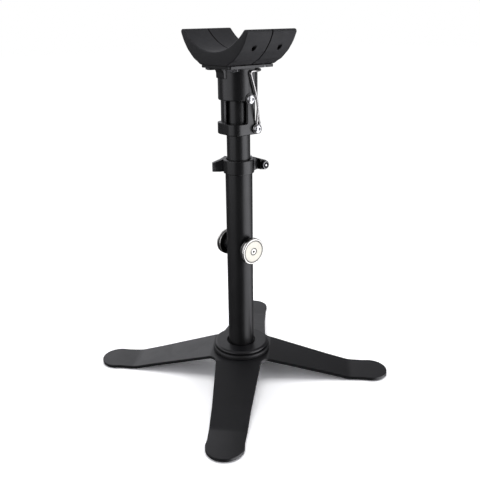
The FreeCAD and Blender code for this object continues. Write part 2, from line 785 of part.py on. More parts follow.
def clamp_lever_grip():
    """Thumb grip over the end of the arm, flaring away from the pillar."""
    inner, outer = dims.lever_arc - 3.0, dims.lever_arc + 3.2
    middle = dims.clamp_bolt_z
    body = new_body("clamp_lever_grip")
    pad(body, draw(body, "GripPlan", "XY", middle - 8.7, [
        polar(inner, 178), polar(inner + 0.2, 196), polar(31.2, 218.5),
        polar(33.6, 214.0), polar(outer + 0.4, 196), polar(outer, 178)]), 16.9)
    round_edges(body, 1.4, lambda e: along_z(e) and from_axis(e) > 30.5)
    round_edges(body, 8.0, lambda e: (
        along_z(e) and e.BoundBox.Center.y < -4 and from_axis(e) < 29))
    # the underside and the top are sloped in the side view
    pocket_through(body, draw(body, "GripSide", "YZ", outline=[
        (-30.0, middle - 9.6), (-10.0, middle - 9.6), (-12.0, middle - 8.5),
        (-30.0, middle - 6.8)]))
    pocket_through(body, draw(body, "GripTop", "YZ", outline=[
        (-30.0, middle + 12.0), (-30.0, middle + 0.2), (-18.5, middle + 3.1),
        (-6.3, middle + 6.2), (-1.0, middle + 7.8), (-1.0, middle + 12.0)]))
    play = 0.01
    half = dims.lever_thick * 0.5 + play
    slot = arc_band(dims.lever_arc - half, dims.lever_arc + half, 170.0, 196.05)
    pocket(body, draw(body, "ArmSlot", "XY", lever_low - play, slot),
           dims.lever_half * 2.0 + 2 * play)
    return body


# ---------------------------------------------------------------- inner post
def inner_post():
    bore, rad, low, top = dims.post_bore, dims.post_rad, dims.post_low, dims.post_top
    return turned_body("inner_post", [
        (bore, low), (rad - 0.3, low), (rad, low + 0.3), (rad, top - 0.3),
        (rad - 0.3, top), (bore, top)])


def post_end_guide():
    hole, skirt, spigot = 4.0, dims.tube_bore - 0.05, dims.post_bore - 0.02
    low, step, top = dims.post_low - 4.0, dims.post_low - 0.05, dims.post_low + 18.0
    return turned_body("post_end_guide", [
        (hole, low), (skirt - 0.5, low), (skirt, low + 0.8), (skirt, step), (spigot, step),
        (spigot, top - 1.0), (dims.post_bore - 1.0, top), (hole, top)])


def post_top_plug():
    hole, rad, top = 4.0, dims.post_bore - 0.02, dims.post_top
    return turned_body("post_top_plug", [
        (hole, top - 18.0), (dims.post_bore - 0.8, top - 18.0), (rad, top - 17.0),
        (rad, top), (hole, top)])


def thrust_washer():
    return turned_body("thrust_washer", rectangle(
        4.2, dims.post_top + 0.02, dims.post_rad - 0.4, dims.post_top + 1.96))


def retaining_screw():
    shank, head = 4.0, 6.6
    end, head_low, head_top = dims.post_top - 15.0, screw_seat + 0.04, screw_seat + 4.4
    body = turned_body("retaining_screw", [
        (0, end), (shank - 0.6, end), (shank, end + 0.7), (shank, head_low),
        (head, head_low), (head, screw_seat + 3.0), (head - 1.0, head_top), (0, head_top)])
    pocket(body, draw(body, "Socket", "XY", screw_seat + 1.4, hexagon(2.9)), 5.0)
    return body


# ---------------------------------------------------------------- head carrier
def head_carrier():
    """Square collar, windowed body and closed top."""
    low, high, top = dims.collar_low, dims.collar_high, dims.carrier_top
    half_x, back_y = dims.collar_half_x, dims.collar_back
    body = new_body("head_carrier")
    collar = rectangle(-half_x, -dims.collar_front, half_x, back_y)
    pad(body, draw(body, "CollarPlan", "XY", low, collar), high - low)
    round_edges(body, dims.collar_round, lambda e: along_z(e) and e.BoundBox.Center.y < 0)
    round_edges(body, 5.0, lambda e: (
        along_z(e) and e.BoundBox.Center.y > back_y.number - 1))

    rad = dims.body_rad
    turn(body, [
        (0, low + 4.0), (rad - 1.0, low + 4.0), (rad - 1.0, high - 2.0), (rad, high - 1.0),
        (rad, top - 1.5), (rad - 1.5, top), (0, top)], "BodyOutline")

    # side flats beside the windows
    far, near = dims.flat_back, dims.window_back
    pad(body, draw(body, "Flats", "XY", high - 2.0, [
        (-half_x, -far), (0, -far), (0, -near), (half_x, -near),
        (half_x, far), (0, far), (0, near), (-half_x, near)]),
        dims.socket_low - 0.4 - high + 2.0)

    # two windows, each through one quarter of the wall, opposite each other
    sill, head = high - 0.6, dims.window_top
    corner = 3.2
    corner_mid = corner * (1 - math.sqrt(0.5))
    for sign in (1, -1):
        edge, outer = -sign * near, -sign * 26.0
        pocket(body, draw(body, "Window", "YZ", -sign * dims.window_side, [
            (outer, sill),
            (edge - sign * corner, sill, (edge - sign * corner_mid, sill + corner_mid, corner)),
            (edge, sill + corner), (edge, head), (outer, head)]), 21.0, back=(sign > 0))

    bore, relief = dims.carrier_bore, dims.relief_rad
    screw_hole, counterbore = 4.25, 6.9
    turn(body, [
        (0, low - 1.0), (bore, low - 1.0), (bore, high - 1.2), (relief, high - 0.6),
        (relief, head - 2.6), (bore, head - 0.8), (bore, carrier_roof),
        (screw_hole, carrier_roof), (screw_hole, screw_seat), (counterbore, screw_seat),
        (counterbore, top + 1.0), (0, top + 1.0)], "Bore", cut_away=True)
    pocket_through(body, draw(body, "PivotHoles", "YZ", circles=[
        (dims.pivot_y, dims.pivot_z, 2.0)]))
    round_edges(body, 0.8, lambda e: (
        flat_at(e, low) and e.BoundBox.DiagonalLength > 3 and not circular(e, bore)),
        chamfer=True)
    return body


def swivel_bush(label, low, high):
    return turned_body(label, rectangle(
        dims.post_rad + 0.05, low, dims.carrier_bore - 0.02, high))


def swivel_bush_lower():
    return swivel_bush("swivel_bush_lower", dims.collar_low, dims.collar_high - 1.2)


def swivel_bush_upper():
    return swivel_bush("swivel_bush_upper", dims.window_top - 1.0, dims.post_top - 1.0)


# ---------------------------------------------------------------- cradle socket and plate
def cradle_socket():
    low, top, rad = dims.socket_low, dims.plate_low, dims.socket_rad
    body = turned_body("cradle_socket", [
        (0, low), (rad - 0.7, low), (rad, low + 0.7), (rad, top - 1.8), (rad + 0.6, top),
        (0, top)], "Sleeve")
    pad(body, draw(body, "SideRibs", "XY", low,
                   rectangle(-dims.rib_face, -1.8, dims.rib_face, 6.6)), top - low)
    pad(body, draw(body, "CatchBosses", "YZ", circles=[
        (0, dims.stud_z, dims.stud_boss)]), dims.stud_face * 2.0, both=True)
    pad(body, draw(body, "FrontGusset", "YZ", outline=[
        (-18.0, top - 10.9), (-23.6, top - 10.6), (-24.2, top - 9.8),
        (-24.4, top - 4.6, (-25.6, top - 1.9, 6.2)), (-29.2, top), (-18.0, top)]),
        14.4, both=True)
    bore, bore_low, bore_top = dims.socket_bore, dims.stud_z - 12.0, dims.carrier_top + 0.4
    turn(body, [
        (0, bore_low), (bore, bore_low), (bore, low), (bore, bore_top), (0, bore_top)],
        "Bore", cut_away=True)
    # below the sleeve the bosses are trimmed back so that they stand off the carrier flats
    trim = dims.collar_half_x + 0.12
    pocket(body, draw(body, "BossRelief", "XY", bore_low,
                      rectangle(-trim, -14.0, trim, 14.0)), low - bore_low)
    pocket_through(body, draw(body, "StudHoles", "YZ", circles=[(0, dims.stud_z, 2.5)]))
    return body


def head_plate():
    low, top = dims.plate_low, dims.plate_top
    half_x, half_y = dims.plate_half_x, dims.plate_half_y
    hole, recess = dims.pad_screw_hole, dims.head_recess
    holes, recesses = [], []
    for i in (1, -1):
        holes.append((i * dims.screw_x, dims.screw_y, hole))
        holes.append((i * dims.bolt_x, -dims.bolt_y, hole))
        recesses.append((i * dims.screw_x, dims.screw_y, recess))
    body = new_body("head_plate")
    plan = rectangle(-half_x, -half_y, half_x, half_y)
    pad(body, draw(body, "PlatePlan", "XY", low, plan), top - low)
    round_edges(body, 3.0, along_z)
    pocket(body, draw(body, "ScrewHoles", "XY", low - 1.0, circles=holes), 10.0)
    pocket(body, draw(body, "HeadRecess", "XY", low - 1.0, circles=recesses), 3.0)
    round_edges(body, 0.5, lambda e: (
        (flat_at(e, low) or flat_at(e, top))
        and not circular(e, hole) and not circular(e, recess)))
    return body


# ---------------------------------------------------------------- cradle pads
def cradle_pad(label, side, hole_x, hole_y):
    """One half of the cradle; side is -1 for the front and 1 for the rear."""
    half_seam = dims.seam_gap * 0.5
    wide, high, under = dims.cradle_half_x, dims.cradle_high, dims.plate_top
    trough, edge = dims.trough_rad, dims.trough_edge
    lip_x, lip_y = wide - 0.6, high - 1.0       # a point on the rounded top corner
    drop = math.sqrt(trough.number ** 2 - edge.number ** 2)
    edge_z = (dims.trough_low + trough).number - drop
    body = new_body(label)
    # XZ sketches are lifted towards -Y
    view = draw(body, "SideView", "XZ", -side * (dims.cradle_half_y + half_seam) * 0.5, [
        (-25.0, under), (25.0, under), (27.0, under + 2.0), (36.0, under + 6.0),
        (47.0, under + 15.0), (54.5, under + 24.5),
        (wide, high - 3.6, (lip_x, lip_y, 2.9)), (wide - 2.9, high),
        (edge + 1.2, high - 0.1), (edge, edge_z, (0.0, dims.trough_low, trough)),
        (-edge, edge_z), (-edge - 1.2, high - 0.1),
        (-wide + 2.9, high, (-lip_x, lip_y, 2.9)), (-wide, high - 3.6),
        (-54.5, under + 24.5), (-47.0, under + 15.0), (-36.0, under + 6.0),
        (-27.0, under + 2.0)])
    pad(body, view, dims.cradle_half_y - half_seam, both=True)
    for name, lift, radius, deep in (
            ("InsertHoles", under + 2.2, 4.0, 5.8),
            ("ScrewHoles", under - 1.0, dims.pad_screw_hole, 4.0)):
        pocket(body, draw(body, name, "XY", lift, circles=[
            (i * hole_x, side * hole_y, radius) for i in (1, -1)]), deep)
    for i in (1, -1):
        pocket(body, draw(body, "WingHole", "YZ", i * 40.0, circles=[
            (side * 17.5, 403.0, dims.wing_hole)]), 25.0, back=(i > 0))
    return body


def cradle_pad_front():
    return cradle_pad("cradle_pad_front", -1, dims.bolt_x, dims.bolt_y)


def cradle_pad_rear():
    return cradle_pad("cradle_pad_rear", 1, dims.screw_x, dims.screw_y)


def pad_stations():
    """Screw places (x, y, rear) under the cradle pads."""
    for i in (1, -1):
        yield i * dims.screw_x, dims.screw_y, True
        yield i * dims.bolt_x, -dims.bolt_y, False


def pad_inserts():
    hole, rad = dims.pad_screw_rad, 3.98
    low, top = dims.plate_top + 2.22, dims.plate_top + 7.3
    inserts = []
    for x, y, rear in pad_stations():
        body = turned_body("pad_insert", [
            (hole, low), (rad, low), (rad, top - 0.5), (3.5, top), (hole, top)])
        place(body, x, y)
        inserts.append(body)
    return group("pad_insert_set", inserts)


def pad_screws():
    low, shank, tip = dims.plate_low, dims.pad_screw_rad, dims.plate_top + 6.7
    shank_end = [(shank, tip - 0.5), (shank - 0.5, tip), (0, tip)]
    bolt_low = low - dims.bolt_high
    screws = []
    for x, y, rear in pad_stations():
        if rear:
            # flat head sunk into the plate, clear of the bail loop
            body = turned_body("pad_screw", [
                (0, low + 0.1), (4.4, low + 0.1), (4.8, low + 0.5), (4.8, low + 2.0),
                (shank, low + 2.0)] + shank_end)
            pocket(body, draw(body, "Socket", "XY", low - 1.0, hexagon(1.75)), 2.4)
        else:
            # hexagon head standing proud of the plate
            body = turned_body("pad_screw", [
                (0, bolt_low), (4.6, bolt_low), (5.3, bolt_low + 0.5),
                (5.3, bolt_low + 1.0), (shank, bolt_low + 1.0)] + shank_end)
            pad(body, draw(body, "Hexagon", "XY", bolt_low + 0.5, hexagon(dims.bolt_hex)),
                dims.bolt_high - 0.5)
        place(body, x, y)
        screws.append(body)
    return group("pad_screw_set", screws)


# ---------------------------------------------------------------- button head side screws
def button_screw_pair(label, shank, face, z, y=0.0):
    """A pair of side screws: a shank outline, and a button head seated on face."""
    rad, high = dims.button_rad, dims.button_high
    head = [
        (rad, face), (rad, face + 0.9), (rad - 0.8, face + high * 0.68),
        (rad - 2.3, face + high * 0.95), (rad - 3.0, face + high), (0, face + high)]
    return side_pair(label, shank + head, z, y, socket=(2.0, face + high - 1.6))


def catch_screws():
    face = dims.stud_face
    shank = [(0, 20.05), (2.2, 20.05), (2.5, 20.4), (2.5, face)]
    return button_screw_pair("catch_screw", shank, face, dims.stud_z)


def bail_pivot_screws():
    face = dims.eye_x + dims.wire_rad + 0.15
    shoulder = dims.pivot_rad
    shank = [
        (0, 15.6), (1.7, 15.6), (2.0, 16.0), (2.0, dims.collar_half_x),
        (shoulder, dims.collar_half_x), (shoulder, face)]
    return button_screw_pair("bail_pivot", shank, face, dims.pivot_z, dims.pivot_y)


# ---------------------------------------------------------------- spring wire bail
def rounded_path(stations):
    """Straight runs joined by tangent arcs; stations are (corner, bend radius)."""
    edges = []
    here = stations[0][0]
    for k in range(1, len(stations)):
        corner, bend = stations[k]
        if bend == 0.0:
            edges.append(Part.LineSegment(here, corner).toShape())
            continue
        arriving = (corner - stations[k - 1][0]).normalize()
        leaving = (stations[k + 1][0] - corner).normalize()
        half_turn = arriving.getAngle(leaving) / 2.0
        run = bend * math.tan(half_turn)
        begin, end = corner - arriving * run, corner + leaving * run
        inward = (leaving - arriving).normalize()
        middle = corner + inward * (bend / math.cos(half_turn) - bend)
        edges.append(Part.LineSegment(here, begin).toShape())
        edges.append(Part.Arc(begin, middle, end).toShape())
        here = end
    return edges


def sweep_wire(stations, edges, radius):
    """Sweeps a round section along edges that begin with the first run of stations."""
    spine = Part.Wire(edges)
    start = stations[0][0]
    way = (stations[1][0] - start).normalize()
    section = Part.Wire([Part.Circle(start, way, radius).toShape()])
    rod = spine.makePipeShell([section], True, False)
    expected = math.pi * radius * radius * spine.Length
    if abs(rod.Volume - expected) > 0.03 * expected:
        raise RuntimeError("wire volume %.1f, expected %.1f" % (rod.Volume, expected))
    return rod


def latch_bail():
    """Two eyes, two legs and one loop bulging to the rear at the top."""
    wire, tail = dims.wire_rad.number, dims.tail_rad.number
    eye_x, bail_x = dims.eye_x.number, dims.bail_x.number
    pivot_y, pivot_z = dims.pivot_y.number, dims.pivot_z.number
    eye_rad = dims.pivot_rad.number + 0.05 + wire
    top_z, loop_y = 378.6, 0.4

    # right leg from the eye up to the loop: corner, bend radius
    leg = [
        (Vector(eye_x, pivot_y - 0.2, pivot_z + eye_rad - 0.35), 0.0),
        (Vector(eye_x + 0.8, 9.2, 325.5), 18.0),
        (Vector(bail_x, 8.4, 338.5), 18.0),
        (Vector(bail_x, 7.05, 349.6), 22.0),
        (Vector(bail_x, -2.07, top_z), 2.4),
        (Vector(bail_x, loop_y, top_z), 0.0)]
    left_leg = [(Vector(-c.x, c.y, c.z), bend) for c, bend in reversed(leg)]
    rear_loop = Part.Arc(
        Vector(bail_x, loop_y, top_z), Vector(0, loop_y + bail_x, top_z),
        Vector(-bail_x, loop_y, top_z)).toShape()
    rod = sweep_wire(leg, rounded_path(leg) + [rear_loop] + rounded_path(left_leg), wire)

    ends = []
    for sign in (1, -1):
        eye_centre = Vector(sign * eye_x, pivot_y, pivot_z)
        ends.append(Part.makeTorus(eye_rad, wire, eye_centre, Vector(1, 0, 0)))
        # the wire end comes up from the rear of the eye and lies against the leg
        strand = [
            (Vector(sign * eye_x, pivot_y + eye_rad, pivot_z), 0.0),
            (Vector(sign * eye_x, pivot_y + eye_rad - 0.2, pivot_z + 5.6), 8.0),
            (Vector(sign * (bail_x - 0.3), 8.7, 338.4), 12.0),
            (Vector(sign * bail_x, 8.05, 342.6), 0.0)]
        ends.append(sweep_wire(strand, rounded_path(strand), tail))
    bail = doc.addObject("Part::Feature", "latch_bail")
    bail.Shape = rod.fuse(ends)
    return bail


# ---------------------------------------------------------------- build, check and export
# each builder's name is the name of its piece
BUILDERS = (
    star_base, foot_pads, hub_ring, post_flange, tube_plug, base_washer, base_bolt,
    outer_tube, guide_bush, magnet_standoffs, magnet_cups, magnet_rings, magnet_screws,
    clamp_ring, clamp_nut, clamp_washer, clamp_bolt, clamp_cam_pin, clamp_lever,
    clamp_lever_grip, inner_post, post_end_guide, post_top_plug, thrust_washer,
    retaining_screw, head_carrier, swivel_bush_lower, swivel_bush_upper, cradle_socket,
    head_plate, cradle_pad_front, cradle_pad_rear, pad_inserts, pad_screws, catch_screws,
    bail_pivot_screws, latch_bail)

pieces = []
for build in BUILDERS:
    piece = build()
    piece.Label = build.__name__
    pieces.append((build.__name__, piece))
doc.recompute()

faults = []
for obj in doc.Objects:
    for word in obj.State:
        if word in ("Invalid", "Error"):
            faults.append("%s (%s): %s" % (obj.Name, obj.Label, word))
for name, piece in pieces:
    if piece.Shape.isNull() or not piece.Shape.isValid():
        faults.append("%s: shape null or not valid" % name)
    elif not piece.Shape.Solids:
        faults.append("%s: no solid" % name)
if faults:
    raise RuntimeError("; ".join(faults))

os.makedirs("parts", exist_ok=True)
for name, piece in pieces:
    piece.Shape.exportStep("parts/%s.step" % name)
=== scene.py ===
# An upright stand, in metres with +Z up. A star base on foot pads carries a post around the
# Z axis, with a clamp part-way up and a head with a rubber cradle on top. The magnet cups
# and the clamp bolt lie along X. The two cradle pads meet at y = 0. The hard parts keep
# their CAD meshes with broken edges, and the two cradle pads are rebuilt as moulded rubber.
import json
import math
import random

import bpy
import bmesh
from mathutils import Matrix, Vector

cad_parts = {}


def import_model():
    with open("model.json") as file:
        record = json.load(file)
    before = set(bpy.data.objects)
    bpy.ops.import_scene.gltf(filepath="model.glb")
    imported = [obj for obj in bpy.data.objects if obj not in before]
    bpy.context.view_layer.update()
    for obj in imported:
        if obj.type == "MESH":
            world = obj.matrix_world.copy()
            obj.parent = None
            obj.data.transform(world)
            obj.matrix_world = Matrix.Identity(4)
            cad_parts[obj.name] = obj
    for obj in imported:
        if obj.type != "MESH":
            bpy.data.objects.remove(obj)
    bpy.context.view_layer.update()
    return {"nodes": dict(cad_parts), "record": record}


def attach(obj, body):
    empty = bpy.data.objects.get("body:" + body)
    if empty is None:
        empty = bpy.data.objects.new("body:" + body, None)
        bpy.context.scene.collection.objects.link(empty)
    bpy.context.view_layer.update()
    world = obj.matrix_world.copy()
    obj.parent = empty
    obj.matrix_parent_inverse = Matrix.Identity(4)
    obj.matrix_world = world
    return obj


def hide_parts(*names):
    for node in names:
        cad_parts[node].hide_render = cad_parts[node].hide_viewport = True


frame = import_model()
NODES = frame["nodes"]
random.seed(7)
scene = bpy.context.scene


# ============================================================ object helpers
def link_object(name, data):
    obj = bpy.data.objects.new(name, data)
    scene.collection.objects.link(obj)
    return obj


def link_bmesh(name, bm):
    """Turn a bmesh into a linked object and free it."""
    mesh = bpy.data.meshes.new(name)
    bm.to_mesh(mesh)
    bm.free()
    return link_object(name, mesh)


def modifier(obj, name, kind, **settings):
    mod = obj.modifiers.new(name, kind)
    for key, value in settings.items():
        setattr(mod, key, value)


# ============================================================ shader graph helpers
class Graph:
    """An emptied shader tree of a material or world, with short ways to add nodes."""

    def __init__(self, owner):
        owner.use_nodes = True
        self.tree = owner.node_tree
        self.tree.nodes.clear()

    def add(self, kind, **props):
        node = self.tree.nodes.new("ShaderNode" + kind)
        for key, value in props.items():
            setattr(node, key, value)
        return node

    def link(self, source, target):
        self.tree.links.new(source, target)

    def set(self, socket, value):
        """Link a socket, or store a plain value."""
        if isinstance(value, bpy.types.NodeSocket):
            self.link(value, socket)
        else:
            socket.default_value = value

    def math(self, operation, *values, clamp=False):
        node = self.add("Math", operation=operation, use_clamp=clamp)
        for socket, value in zip(node.inputs, values):
            self.set(socket, value)
        return node.outputs[0]

    def vector_math(self, operation, *values):
        node = self.add("VectorMath", operation=operation)
        for socket, value in zip(node.inputs, values):
            self.set(socket, value)
        scalar = operation in ("DOT_PRODUCT", "LENGTH")
        return node.outputs["Value" if scalar else "Vector"]

    def remap(self, value, span, to=(0.0, 1.0), smooth=False):
        """Map the range span to the range to."""
        node = self.add("MapRange")
        if smooth:
            node.interpolation_type = "SMOOTHSTEP"
        self.link(value, node.inputs["Value"])
        for key, number in zip(("From Min", "From Max", "To Min", "To Max"), (*span, *to)):
            node.inputs[key].default_value = number
        return node.outputs[0]

    def mix(self, factor, first, second):
        node = self.add("Mix", data_type="RGBA")
        self.set(node.inputs["Factor"], factor)
        self.set(node.inputs[6], first)
        self.set(node.inputs[7], second)
        return node.outputs[2]


class Surface(Graph):
    """A material with one Principled shader, textured in object coordinates."""

    def __init__(self, name):
        self.name = name
        self.mat = bpy.data.materials.new(name)
        super().__init__(self.mat)
        out = self.add("OutputMaterial")
        self.bsdf = self.add("BsdfPrincipled")
        self.link(self.bsdf.outputs[0], out.inputs[0])
        self.position = self.add("TexCoord").outputs["Object"]

    def shade(self, **inputs):
        """Drive Principled inputs; underscores in a key stand for spaces."""
        for key, value in inputs.items():
            self.set(self.bsdf.inputs[key.replace("_", " ")], value)

    def noise(self, scale, detail=4.0, rough=0.5, dist=0.0, vector=None):
        node = self.add("TexNoise")
        node.inputs["Scale"].default_value = scale
        node.inputs["Detail"].default_value = detail
        node.inputs["Roughness"].default_value = rough
        node.inputs["Distortion"].default_value = dist
        self.link(vector or self.position, node.inputs["Vector"])
        return node.outputs["Fac"]

    def bump(self, height, strength, distance, normal=None):
        node = self.add("Bump")
        node.inputs["Strength"].default_value = strength
        node.inputs["Distance"].default_value = distance
        self.link(height, node.inputs["Height"])
        if normal is not None:
            self.link(normal, node.inputs["Normal"])
        return node.outputs[0]

    def edge_mask(self, radius):
        """A mask, 1 on edges and 0 on flats, and the rounded normal it comes from."""
        bevel = self.add("Bevel", samples=4)
        bevel.inputs["Radius"].default_value = radius
        rounded = bevel.outputs[0]
        true_normal = self.add("NewGeometry").outputs["Normal"]
        agreement = self.vector_math("DOT_PRODUCT", rounded, true_normal)
        bend = self.math("SUBTRACT", 1.0, agreement, clamp=True)
        return self.remap(bend, span=(0.01, 0.22)), rounded

    def paint_over(self, mask, colour):
        """Lay a flat colour over the present base colour where the mask is 1."""
        base = self.bsdf.inputs["Base Color"]
        self.link(self.mix(mask, base.links[0].from_socket, colour), base)

    def band(self, distance, centre, outer, inner):
        """1 within inner of the centre value, fading to 0 at outer."""
        away = self.math("ABSOLUTE", self.math("SUBTRACT", distance, centre))
        return self.remap(away, span=(outer, inner), smooth=True)


def grey(value, cool=0.0):
    """A grey, tinted blue as cool rises."""
    warm = value * (1 - cool * 0.3)
    return (warm, warm, value * (1 + cool), 1.0)


# ============================================================ materials
def black_coat(name, base, rough, cool=0.06, peel=1.0, edge=0.5, spec=0.5):
    """Satin coating: colour drift, orange peel, handling marks and polished edges."""
    s = Surface(name)
    drift = s.remap(s.noise(scale=14.0, detail=3.0, rough=0.55), span=(0.35, 0.65))
    specks = s.noise(scale=900.0, detail=2.0, rough=0.6)
    colour = s.mix(drift, grey(base * 0.82, cool), grey(base * 1.2, cool))
    colour = s.mix(s.remap(specks, span=(0.55, 0.8), to=(0.0, 0.35)),
                   colour, grey(base * 1.9, cool))
    mask, rounded = s.edge_mask(radius=0.0009)
    patches = s.noise(scale=120.0, rough=0.6)
    worn = s.math("MULTIPLY", mask, s.remap(patches, span=(0.4, 0.7), to=(0.25, 1.0)))
    worn = s.math("MULTIPLY", worn, edge)
    smear = s.noise(scale=38.0, detail=5.0, rough=0.6, dist=1.2)
    matt = s.remap(smear, span=(0.3, 0.7), to=(rough * 0.88, rough * 1.12))
    polish = s.math("MULTIPLY", worn, 0.08)
    orange_peel = s.noise(scale=420.0, detail=2.0)
    s.shade(
        Base_Color=s.mix(worn, colour, grey(base * 4.0, cool * 0.5)),
        Roughness=s.math("SUBTRACT", matt, polish),
        Specular_IOR_Level=spec,
        Coat_Roughness=0.3,
        Normal=s.bump(orange_peel, strength=0.10 * peel, distance=0.0004, normal=rounded),
    )
    return s


def rubber(name, base, rough, cool=0.08, grain=1.0, spec=0.30):
    """Moulded rubber: leathery grain, chalky bloom in patches and darker pores."""
    s = Surface(name)
    cloud = s.remap(s.noise(scale=22.0, rough=0.6), span=(0.35, 0.68))
    fine = s.noise(scale=1300.0, detail=3.0, rough=0.7)
    cells = s.add("TexVoronoi", feature="F1")
    cells.inputs["Scale"].default_value = 1500.0
    s.link(s.position, cells.inputs["Vector"])
    colour = s.mix(cloud, grey(base * 0.85, cool), grey(base * 1.22, cool))
    colour = s.mix(s.remap(fine, span=(0.5, 0.8), to=(0.0, 0.5)),
                   colour, grey(base * 0.55, cool))
    mask, _ = s.edge_mask(radius=0.0012)
    patches = s.noise(scale=60.0, rough=0.6)
    height = s.math("ADD", s.math("MULTIPLY", fine, 0.6),
                    s.math("MULTIPLY", cells.outputs["Distance"], 0.8))
    s.shade(
        Base_Color=s.mix(s.math("MULTIPLY", mask, 0.45), colour, grey(base * 1.9, cool)),
        Roughness=s.remap(patches, span=(0.3, 0.7), to=(rough - 0.05, rough + 0.07)),
        Specular_IOR_Level=spec,
        Sheen_Weight=0.05,
        Sheen_Roughness=0.5,
        Normal=s.bump(height, strength=0.16 * grain, distance=0.0003),
    )
    return s


def seam_shaded_rubber(name, base, rough, half, spec=0.30):
    """Rubber with painted shade in a groove of the given half width at y = 0."""
    s = rubber(name, base, rough, spec=spec)
    split = s.add("SeparateXYZ")
    s.link(s.position, split.inputs[0])
    away = s.math("ABSOLUTE", split.outputs["Y"])
    # painted shade: the base colour goes near black in the seam groove and the specular drops
    # there
    groove = s.remap(away, span=(half * 1.35, half * 0.65), smooth=True)
    s.paint_over(groove, (0.0012, 0.0012, 0.0013, 1))
    s.shade(Specular_IOR_Level=s.remap(groove, span=(0.0, 1.0), to=(spec, 0.03)))
    return s


def metal(name, colour, rough, brush_axis=None, brush=0.3, dirt=0.25, edge_radius=0.0005):
    """Plated or bare metal with fine brushing, smudges and brighter edges."""
    s = Surface(name)
    stretch = [1.0, 1.0, 1.0]
    if brush_axis is not None:
        stretch[brush_axis] = 0.04
    mapping = s.add("Mapping")
    s.link(s.position, mapping.inputs["Vector"])
    mapping.inputs["Scale"].default_value = stretch
    lines = s.noise(scale=2600.0, detail=3.0, rough=0.6, vector=mapping.outputs[0])
    smudge = s.noise(scale=95.0, rough=0.6, dist=0.8)
    dark = tuple(c * 0.72 for c in colour)
    tone = s.mix(s.remap(smudge, span=(0.4, 0.75), to=(0.0, dirt)),
                 (*colour, 1.0), (*dark, 1.0))
    mask, rounded = s.edge_mask(edge_radius)
    s.shade(
        Base_Color=s.mix(s.math("MULTIPLY", mask, 0.25), tone, (1.0, 1.0, 1.0, 1.0)),
        Metallic=1.0,
        Roughness=s.math(
            "ADD",
            s.remap(smudge, span=(0.3, 0.7), to=(rough * 0.8, rough * 1.25)),
            s.remap(lines, span=(0.3, 0.7), to=(0.0, 0.06))),
        Normal=s.bump(lines, strength=0.12 * brush, distance=0.0001, normal=rounded),
    )
    return s


def banded(name, colour, rough, centre, rings, dirt=0.10, edge_radius=0.0005, side_shade=()):
    """Metal for round pieces on an X axis through centre (y, z), with painted bands.

    rings: (radius, half width, colour) around the axis
    side_shade: (distance from x = 0, half width, colour) along the axis, bands of painted shade
    """
    s = metal(name, colour, rough, brush=0.5, dirt=dirt, edge_radius=edge_radius)
    offset = s.vector_math("SUBTRACT", s.position, (0.0, *centre))
    radius = s.vector_math("LENGTH", s.vector_math("MULTIPLY", offset, (0.0, 1.0, 1.0)))
    for middle, half, tone in rings:
        s.paint_over(s.band(radius, middle, outer=half * 1.4, inner=half * 0.6), tone)
    # bands of painted shade along the axis
    if side_shade:
        split = s.add("SeparateXYZ")
        s.link(s.position, split.inputs[0])
        along = s.math("ABSOLUTE", split.outputs["X"])
        fade = 0.0003
        for middle, half, tone in side_shade:
            s.paint_over(s.band(along, middle, outer=half + fade, inner=half - fade), tone)
    return s


CLAMP_AXIS = (0.0284, 0.2693)    # y, z of the clamp bolt
MAGNET_AXIS = (0.0, 0.170)       # y, z of the magnet cups

